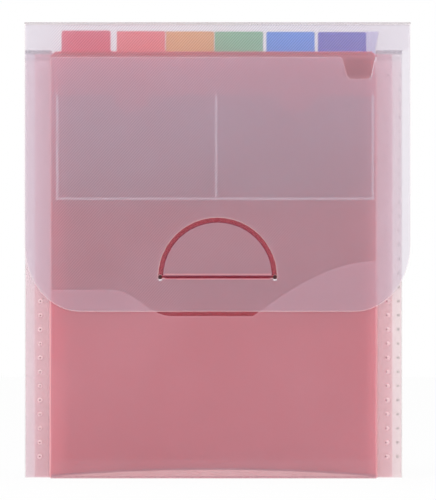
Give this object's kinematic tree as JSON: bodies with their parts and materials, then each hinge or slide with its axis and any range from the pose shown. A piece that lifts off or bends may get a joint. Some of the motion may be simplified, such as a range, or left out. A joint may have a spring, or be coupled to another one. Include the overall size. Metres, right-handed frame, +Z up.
{
  "type": "expanding file folder",
  "caption": "Upright accordion file folder with colour-tabbed divider pockets, side and bottom gussets, a clear front with card pockets, and a tuck flap with a half-moon tongue.",
  "frame": {"origin": "middle of the footprint, at the height of the lower edges that the closed folder stands on", "axes": "+Z up along the folder's height, -Y out of its front, +X to the right seen from the front"},
  "size_m": [0.2668, 0.0398, 0.315],
  "materials": {
    "clear_sheet": "frosted clear polypropylene with a fine emboss",
    "clear_film": "thin frosted clear polypropylene film",
    "red_sheet": "translucent red polypropylene sheet",
    "coral_sheet": "translucent coral polypropylene sheet",
    "orange_sheet": "translucent orange polypropylene sheet",
    "green_sheet": "translucent green polypropylene sheet",
    "blue_sheet": "translucent blue polypropylene sheet",
    "violet_sheet": "translucent violet polypropylene sheet"
  },
  "bodies": {
    "back": {"back_panel": "clear_sheet"},
    "band": {"top_band": "clear_sheet"},
    "flap": {"flap": "clear_sheet"},
    "tongue": {"flap_tongue": "clear_sheet"},
    "front": {"front_panel": "clear_sheet", "card_pocket_sheet": "clear_film", "front_pocket_sheet": "clear_film"},
    "red": {"red_divider": "red_sheet"},
    "coral": {"coral_divider": "coral_sheet"},
    "orange": {"orange_divider": "orange_sheet"},
    "green": {"green_divider": "green_sheet"},
    "blue": {"blue_divider": "blue_sheet"},
    "violet": {"violet_divider": "violet_sheet"},
    "front_wing_left": {"front_wing_left": "clear_film"},
    "red_wing_left": {"red_wing_left": "red_sheet"},
    "front_wing_right": {"front_wing_right": "clear_film"},
    "red_wing_right": {"red_wing_right": "red_sheet"},
    "bottom_pleat_1_front": {"bottom_pleat_1_front": "clear_film"},
    "bottom_pleat_1_rear": {"bottom_pleat_1_rear": "clear_film"},
    "side_pleat_2_left": {"side_pleat_2_left": "clear_film"},
    "coral_wing_left": {"coral_wing_left": "coral_sheet"},
    "side_pleat_2_right": {"side_pleat_2_right": "clear_film"},
    "coral_wing_right": {"coral_wing_right": "coral_sheet"},
    "bottom_pleat_2_front": {"bottom_pleat_2_front": "clear_film"},
    "bottom_pleat_2_rear": {"bottom_pleat_2_rear": "clear_film"},
    "side_pleat_3_left": {"side_pleat_3_left": "clear_film"},
    "orange_wing_left": {"orange_wing_left": "orange_sheet"},
    "side_pleat_3_right": {"side_pleat_3_right": "clear_film"},
    "orange_wing_right": {"orange_wing_right": "orange_sheet"},
    "bottom_pleat_3_front": {"bottom_pleat_3_front": "clear_film"},
    "bottom_pleat_3_rear": {"bottom_pleat_3_rear": "clear_film"},
    "side_pleat_4_left": {"side_pleat_4_left": "clear_film"},
    "green_wing_left": {"green_wing_left": "green_sheet"},
    "side_pleat_4_right": {"side_pleat_4_right": "clear_film"},
    "green_wing_right": {"green_wing_right": "green_sheet"},
    "bottom_pleat_4_front": {"bottom_pleat_4_front": "clear_film"},
    "bottom_pleat_4_rear": {"bottom_pleat_4_rear": "clear_film"},
    "side_pleat_5_left": {"side_pleat_5_left": "clear_film"},
    "blue_wing_left": {"blue_wing_left": "blue_sheet"},
    "side_pleat_5_right": {"side_pleat_5_right": "clear_film"},
    "blue_wing_right": {"blue_wing_right": "blue_sheet"},
    "bottom_pleat_5_front": {"bottom_pleat_5_front": "clear_film"},
    "bottom_pleat_5_rear": {"bottom_pleat_5_rear": "clear_film"},
    "side_pleat_6_left": {"side_pleat_6_left": "clear_film"},
    "violet_wing_left": {"violet_wing_left": "violet_sheet"},
    "side_pleat_6_right": {"side_pleat_6_right": "clear_film"},
    "violet_wing_right": {"violet_wing_right": "violet_sheet"},
    "bottom_pleat_6_front": {"bottom_pleat_6_front": "clear_film"},
    "bottom_pleat_6_rear": {"bottom_pleat_6_rear": "clear_film"},
    "side_pleat_7_left": {"side_pleat_7_left": "clear_film"},
    "back_wing_left": {"back_wing_left": "clear_film"},
    "side_pleat_7_right": {"side_pleat_7_right": "clear_film"},
    "back_wing_right": {"back_wing_right": "clear_film"},
    "bottom_pleat_7_front": {"bottom_pleat_7_front": "clear_film"},
    "bottom_pleat_7_rear": {"bottom_pleat_7_rear": "clear_film"}
  },
  "joints": [
    {"name": "cover_fold", "type": "hinge", "parent": "back", "child": "band", "pos_m": [0, 0.01947, 0.3146], "axis": [-1, 0, 0], "range_deg": [0, 200]},
    {"name": "flap_fold", "type": "hinge", "parent": "band", "child": "flap", "pos_m": [0, -0.01953, 0.3146], "axis": [-1, 0, 0], "range_deg": [0, 140]},
    {"name": "tongue_fold", "type": "hinge", "parent": "flap", "child": "tongue", "pos_m": [0, -0.01953, 0.139], "axis": [1, 0, 0], "range_deg": [0, 60]},
    {"name": "front_slide", "type": "slide", "parent": "back", "child": "front", "axis": [0, -1, 0], "range_m": [0, 0.08]},
    {"name": "red_slide", "type": "slide", "parent": "back", "child": "red", "axis": [0, -1, 0], "range_m": [0, 0.06857]},
    {"name": "coral_slide", "type": "slide", "parent": "back", "child": "coral", "axis": [0, -1, 0], "range_m": [0, 0.05714]},
    {"name": "orange_slide", "type": "slide", "parent": "back", "child": "orange", "axis": [0, -1, 0], "range_m": [0, 0.04571]},
    {"name": "green_slide", "type": "slide", "parent": "back", "child": "green", "axis": [0, -1, 0], "range_m": [0, 0.03429]},
    {"name": "blue_slide", "type": "slide", "parent": "back", "child": "blue", "axis": [0, -1, 0], "range_m": [0, 0.02286]},
    {"name": "violet_slide", "type": "slide", "parent": "back", "child": "violet", "axis": [0, -1, 0], "range_m": [0, 0.01143]},
    {"name": "front_wing_left_fold", "type": "hinge", "parent": "front", "child": "front_wing_left", "pos_m": [-0.1156, -0.01727, 0], "axis": [0, 0, -1], "range_deg": [0, 19.31]},
    {"name": "red_wing_left_fold", "type": "hinge", "parent": "red", "child": "red_wing_left", "pos_m": [-0.1156, -0.01268, 0], "axis": [0, 0, 1], "range_deg": [0, 19.31]},
    {"name": "front_wing_right_fold", "type": "hinge", "parent": "front", "child": "front_wing_right", "pos_m": [0.11, -0.01727, 0], "axis": [0, 0, 1], "range_deg": [0, 19.31]},
    {"name": "red_wing_right_fold", "type": "hinge", "parent": "red", "child": "red_wing_right", "pos_m": [0.11, -0.01268, 0], "axis": [0, 0, -1], "range_deg": [0, 19.31]},
    {"name": "bottom_pleat_1_front_fold", "type": "hinge", "parent": "front", "child": "bottom_pleat_1_front", "pos_m": [-0.0028, -0.01667, 0.001], "axis": [-1, 0, 0], "range_deg": [0, 29.5]},
    {"name": "bottom_pleat_1_rear_fold", "type": "hinge", "parent": "red", "child": "bottom_pleat_1_rear", "pos_m": [-0.0028, -0.01328, 0.001], "axis": [1, 0, 0], "range_deg": [0, 29.5]},
    {"name": "side_pleat_2_left_fold", "type": "hinge", "parent": "red", "child": "side_pleat_2_left", "pos_m": [-0.1156, -0.01197, 0], "axis": [0, 0, -1], "range_deg": [0, 19.31]},
    {"name": "coral_wing_left_fold", "type": "hinge", "parent": "coral", "child": "coral_wing_left", "pos_m": [-0.1156, -0.00737, 0], "axis": [0, 0, 1], "range_deg": [0, 19.31]},
    {"name": "side_pleat_2_right_fold", "type": "hinge", "parent": "red", "child": "side_pleat_2_right", "pos_m": [0.11, -0.01197, 0], "axis": [0, 0, 1], "range_deg": [0, 19.31]},
    {"name": "coral_wing_right_fold", "type": "hinge", "parent": "coral", "child": "coral_wing_right", "pos_m": [0.11, -0.00737, 0], "axis": [0, 0, -1], "range_deg": [0, 19.31]},
    {"name": "bottom_pleat_2_front_fold", "type": "hinge", "parent": "red", "child": "bottom_pleat_2_front", "pos_m": [-0.0028, -0.01137, 0.001], "axis": [-1, 0, 0], "range_deg": [0, 29.5]},
    {"name": "bottom_pleat_2_rear_fold", "type": "hinge", "parent": "coral", "child": "bottom_pleat_2_rear", "pos_m": [-0.0028, -0.00797, 0.001], "axis": [1, 0, 0], "range_deg": [0, 29.5]},
    {"name": "side_pleat_3_left_fold", "type": "hinge", "parent": "coral", "child": "side_pleat_3_left", "pos_m": [-0.1156, -0.00668, 0], "axis": [0, 0, -1], "range_deg": [0, 19.31]},
    {"name": "orange_wing_left_fold", "type": "hinge", "parent": "orange", "child": "orange_wing_left", "pos_m": [-0.1156, -0.00208, 0], "axis": [0, 0, 1], "range_deg": [0, 19.31]},
    {"name": "side_pleat_3_right_fold", "type": "hinge", "parent": "coral", "child": "side_pleat_3_right", "pos_m": [0.11, -0.00668, 0], "axis": [0, 0, 1], "range_deg": [0, 19.31]},
    {"name": "orange_wing_right_fold", "type": "hinge", "parent": "orange", "child": "orange_wing_right", "pos_m": [0.11, -0.00208, 0], "axis": [0, 0, -1], "range_deg": [0, 19.31]},
    {"name": "bottom_pleat_3_front_fold", "type": "hinge", "parent": "coral", "child": "bottom_pleat_3_front", "pos_m": [-0.0028, -0.00607, 0.001], "axis": [-1, 0, 0], "range_deg": [0, 29.5]},
    {"name": "bottom_pleat_3_rear_fold", "type": "hinge", "parent": "orange", "child": "bottom_pleat_3_rear", "pos_m": [-0.0028, -0.00267, 0.001], "axis": [1, 0, 0], "range_deg": [0, 29.5]},
    {"name": "side_pleat_4_left_fold", "type": "hinge", "parent": "orange", "child": "side_pleat_4_left", "pos_m": [-0.1156, -0.00137, 0], "axis": [0, 0, -1], "range_deg": [0, 19.31]},
    {"name": "green_wing_left_fold", "type": "hinge", "parent": "green", "child": "green_wing_left", "pos_m": [-0.1156, 0.00323, 0], "axis": [0, 0, 1], "range_deg": [0, 19.31]},
    {"name": "side_pleat_4_right_fold", "type": "hinge", "parent": "orange", "child": "side_pleat_4_right", "pos_m": [0.11, -0.00137, 0], "axis": [0, 0, 1], "range_deg": [0, 19.31]},
    {"name": "green_wing_right_fold", "type": "hinge", "parent": "green", "child": "green_wing_right", "pos_m": [0.11, 0.00323, 0], "axis": [0, 0, -1], "range_deg": [0, 19.31]},
    {"name": "bottom_pleat_4_front_fold", "type": "hinge", "parent": "orange", "child": "bottom_pleat_4_front", "pos_m": [-0.0028, -0.00077, 0.001], "axis": [-1, 0, 0], "range_deg": [0, 29.5]},
    {"name": "bottom_pleat_4_rear_fold", "type": "hinge", "parent": "green", "child": "bottom_pleat_4_rear", "pos_m": [-0.0028, 0.00263, 0.001], "axis": [1, 0, 0], "range_deg": [0, 29.5]},
    {"name": "side_pleat_5_left_fold", "type": "hinge", "parent": "green", "child": "side_pleat_5_left", "pos_m": [-0.1156, 0.00392, 0], "axis": [0, 0, -1], "range_deg": [0, 19.31]},
    {"name": "blue_wing_left_fold", "type": "hinge", "parent": "blue", "child": "blue_wing_left", "pos_m": [-0.1156, 0.00852, 0], "axis": [0, 0, 1], "range_deg": [0, 19.31]},
    {"name": "side_pleat_5_right_fold", "type": "hinge", "parent": "green", "child": "side_pleat_5_right", "pos_m": [0.11, 0.00392, 0], "axis": [0, 0, 1], "range_deg": [0, 19.31]},
    {"name": "blue_wing_right_fold", "type": "hinge", "parent": "blue", "child": "blue_wing_right", "pos_m": [0.11, 0.00852, 0], "axis": [0, 0, -1], "range_deg": [0, 19.31]},
    {"name": "bottom_pleat_5_front_fold", "type": "hinge", "parent": "green", "child": "bottom_pleat_5_front", "pos_m": [-0.0028, 0.00453, 0.001], "axis": [-1, 0, 0], "range_deg": [0, 29.5]},
    {"name": "bottom_pleat_5_rear_fold", "type": "hinge", "parent": "blue", "child": "bottom_pleat_5_rear", "pos_m": [-0.0028, 0.00792, 0.001], "axis": [1, 0, 0], "range_deg": [0, 29.5]},
    {"name": "side_pleat_6_left_fold", "type": "hinge", "parent": "blue", "child": "side_pleat_6_left", "pos_m": [-0.1156, 0.00923, 0], "axis": [0, 0, -1], "range_deg": [0, 19.31]},
    {"name": "violet_wing_left_fold", "type": "hinge", "parent": "violet", "child": "violet_wing_left", "pos_m": [-0.1156, 0.01383, 0], "axis": [0, 0, 1], "range_deg": [0, 19.31]},
    {"name": "side_pleat_6_right_fold", "type": "hinge", "parent": "blue", "child": "side_pleat_6_right", "pos_m": [0.11, 0.00923, 0], "axis": [0, 0, 1], "range_deg": [0, 19.31]},
    {"name": "violet_wing_right_fold", "type": "hinge", "parent": "violet", "child": "violet_wing_right", "pos_m": [0.11, 0.01383, 0], "axis": [0, 0, -1], "range_deg": [0, 19.31]},
    {"name": "bottom_pleat_6_front_fold", "type": "hinge", "parent": "blue", "child": "bottom_pleat_6_front", "pos_m": [-0.0028, 0.00983, 0.001], "axis": [-1, 0, 0], "range_deg": [0, 29.5]},
    {"name": "bottom_pleat_6_rear_fold", "type": "hinge", "parent": "violet", "child": "bottom_pleat_6_rear", "pos_m": [-0.0028, 0.01323, 0.001], "axis": [1, 0, 0], "range_deg": [0, 29.5]},
    {"name": "side_pleat_7_left_fold", "type": "hinge", "parent": "violet", "child": "side_pleat_7_left", "pos_m": [-0.1156, 0.01452, 0], "axis": [0, 0, -1], "range_deg": [0, 19.31]},
    {"name": "back_wing_left_fold", "type": "hinge", "parent": "back", "child": "back_wing_left", "pos_m": [-0.1156, 0.01912, 0], "axis": [0, 0, 1], "range_deg": [0, 19.31]},
    {"name": "side_pleat_7_right_fold", "type": "hinge", "parent": "violet", "child": "side_pleat_7_right", "pos_m": [0.11, 0.01452, 0], "axis": [0, 0, 1], "range_deg": [0, 19.31]},
    {"name": "back_wing_right_fold", "type": "hinge", "parent": "back", "child": "back_wing_right", "pos_m": [0.11, 0.01912, 0], "axis": [0, 0, -1], "range_deg": [0, 19.31]},
    {"name": "bottom_pleat_7_front_fold", "type": "hinge", "parent": "violet", "child": "bottom_pleat_7_front", "pos_m": [-0.0028, 0.01512, 0.001], "axis": [-1, 0, 0], "range_deg": [0, 29.5]},
    {"name": "bottom_pleat_7_rear_fold", "type": "hinge", "parent": "back", "child": "bottom_pleat_7_rear", "pos_m": [-0.0028, 0.01852, 0.001], "axis": [1, 0, 0], "range_deg": [0, 29.5]}
  ],
  "couplings": [
    {"joint": "front_slide", "follows": "cover_fold", "m_per_rad": 0.022918},
    {"joint": "red_slide", "follows": "cover_fold", "m_per_rad": 0.019644},
    {"joint": "coral_slide", "follows": "cover_fold", "m_per_rad": 0.01637},
    {"joint": "orange_slide", "follows": "cover_fold", "m_per_rad": 0.013096},
    {"joint": "green_slide", "follows": "cover_fold", "m_per_rad": 0.0098221},
    {"joint": "blue_slide", "follows": "cover_fold", "m_per_rad": 0.0065481},
    {"joint": "violet_slide", "follows": "cover_fold", "m_per_rad": 0.003274},
    {"joint": "front_wing_left_fold", "follows": "cover_fold", "ratio": 0.096521},
    {"joint": "red_wing_left_fold", "follows": "cover_fold", "ratio": 0.096521},
    {"joint": "front_wing_right_fold", "follows": "cover_fold", "ratio": 0.096521},
    {"joint": "red_wing_right_fold", "follows": "cover_fold", "ratio": 0.096521},
    {"joint": "bottom_pleat_1_front_fold", "follows": "cover_fold", "ratio": 0.14748},
    {"joint": "bottom_pleat_1_rear_fold", "follows": "cover_fold", "ratio": 0.14748},
    {"joint": "side_pleat_2_left_fold", "follows": "cover_fold", "ratio": 0.096521},
    {"joint": "coral_wing_left_fold", "follows": "cover_fold", "ratio": 0.096521},
    {"joint": "side_pleat_2_right_fold", "follows": "cover_fold", "ratio": 0.096521},
    {"joint": "coral_wing_right_fold", "follows": "cover_fold", "ratio": 0.096521},
    {"joint": "bottom_pleat_2_front_fold", "follows": "cover_fold", "ratio": 0.14748},
    {"joint": "bottom_pleat_2_rear_fold", "follows": "cover_fold", "ratio": 0.14748},
    {"joint": "side_pleat_3_left_fold", "follows": "cover_fold", "ratio": 0.096521},
    {"joint": "orange_wing_left_fold", "follows": "cover_fold", "ratio": 0.096521},
    {"joint": "side_pleat_3_right_fold", "follows": "cover_fold", "ratio": 0.096521},
    {"joint": "orange_wing_right_fold", "follows": "cover_fold", "ratio": 0.096521},
    {"joint": "bottom_pleat_3_front_fold", "follows": "cover_fold", "ratio": 0.14748},
    {"joint": "bottom_pleat_3_rear_fold", "follows": "cover_fold", "ratio": 0.14748},
    {"joint": "side_pleat_4_left_fold", "follows": "cover_fold", "ratio": 0.096521},
    {"joint": "green_wing_left_fold", "follows": "cover_fold", "ratio": 0.096521},
    {"joint": "side_pleat_4_right_fold", "follows": "cover_fold", "ratio": 0.096521},
    {"joint": "green_wing_right_fold", "follows": "cover_fold", "ratio": 0.096521},
    {"joint": "bottom_pleat_4_front_fold", "follows": "cover_fold", "ratio": 0.14748},
    {"joint": "bottom_pleat_4_rear_fold", "follows": "cover_fold", "ratio": 0.14748},
    {"joint": "side_pleat_5_left_fold", "follows": "cover_fold", "ratio": 0.096521},
    {"joint": "blue_wing_left_fold", "follows": "cover_fold", "ratio": 0.096521},
    {"joint": "side_pleat_5_right_fold", "follows": "cover_fold", "ratio": 0.096521},
    {"joint": "blue_wing_right_fold", "follows": "cover_fold", "ratio": 0.096521},
    {"joint": "bottom_pleat_5_front_fold", "follows": "cover_fold", "ratio": 0.14748},
    {"joint": "bottom_pleat_5_rear_fold", "follows": "cover_fold", "ratio": 0.14748},
    {"joint": "side_pleat_6_left_fold", "follows": "cover_fold", "ratio": 0.096521},
    {"joint": "violet_wing_left_fold", "follows": "cover_fold", "ratio": 0.096521},
    {"joint": "side_pleat_6_right_fold", "follows": "cover_fold", "ratio": 0.096521},
    {"joint": "violet_wing_right_fold", "follows": "cover_fold", "ratio": 0.096521},
    {"joint": "bottom_pleat_6_front_fold", "follows": "cover_fold", "ratio": 0.14748},
    {"joint": "bottom_pleat_6_rear_fold", "follows": "cover_fold", "ratio": 0.14748},
    {"joint": "side_pleat_7_left_fold", "follows": "cover_fold", "ratio": 0.096521},
    {"joint": "back_wing_left_fold", "follows": "cover_fold", "ratio": 0.096521},
    {"joint": "side_pleat_7_right_fold", "follows": "cover_fold", "ratio": 0.096521},
    {"joint": "back_wing_right_fold", "follows": "cover_fold", "ratio": 0.096521},
    {"joint": "bottom_pleat_7_front_fold", "follows": "cover_fold", "ratio": 0.14748},
    {"joint": "bottom_pleat_7_rear_fold", "follows": "cover_fold", "ratio": 0.14748}
  ]
}
